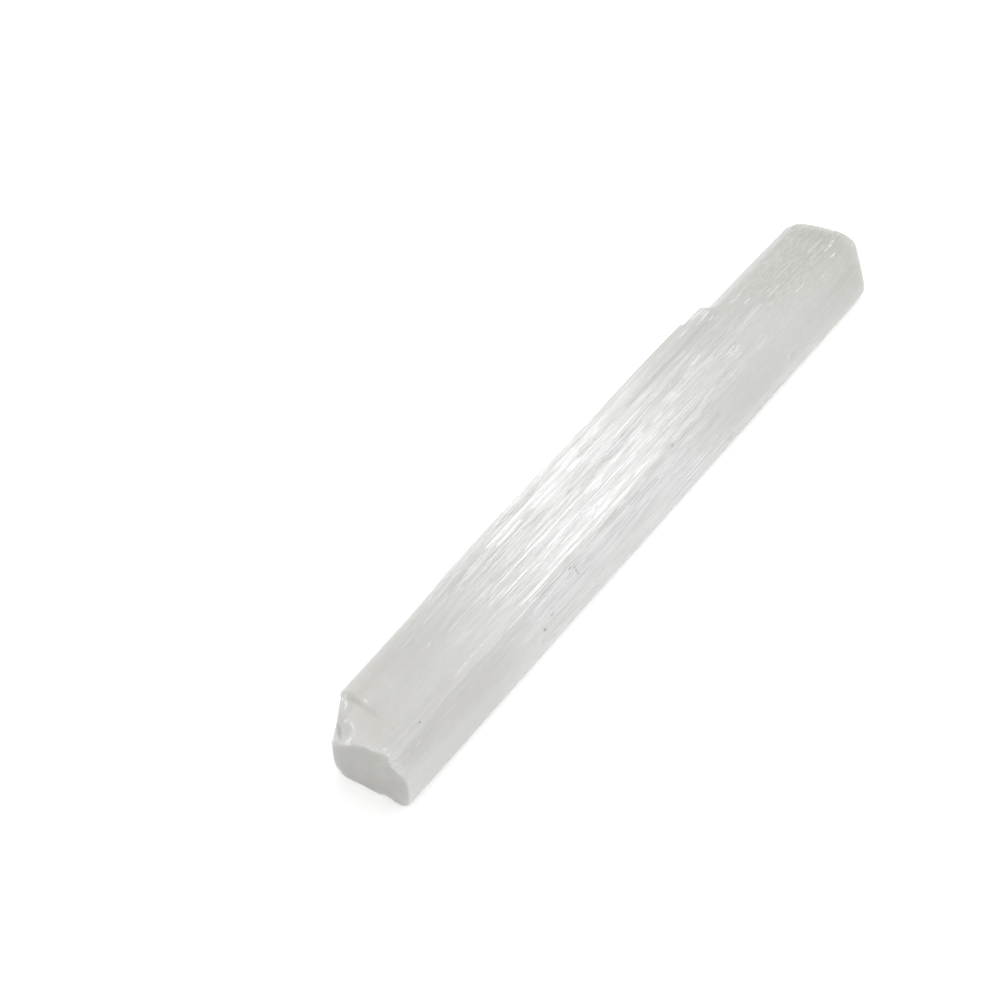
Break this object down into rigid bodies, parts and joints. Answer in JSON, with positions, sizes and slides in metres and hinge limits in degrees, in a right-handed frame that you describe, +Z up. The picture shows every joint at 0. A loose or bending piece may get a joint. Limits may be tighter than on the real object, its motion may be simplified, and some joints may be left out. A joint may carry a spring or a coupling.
{
  "type": "selenite crystal blade",
  "caption": "Rough, slender blade of fibrous white selenite with a silky lengthwise grain, sawn ends and a chipped corner; lies flat on a surface",
  "frame": {"origin": "centre of the resting face, which is the middle of the bottom of the blade's box", "axes": "+X along the fibres, from the chipped near end to the far end; +Y across, towards the left side as seen from the near end; +Z up from the resting face"},
  "size_m": [0.203, 0.0254, 0.0146],
  "materials": {
    "selenite": "milky, silky along the fibres, matt on the sawn ends"
  },
  "bodies": {
    "root": {"selenite_blade": "selenite"}
  },
  "joints": []
}
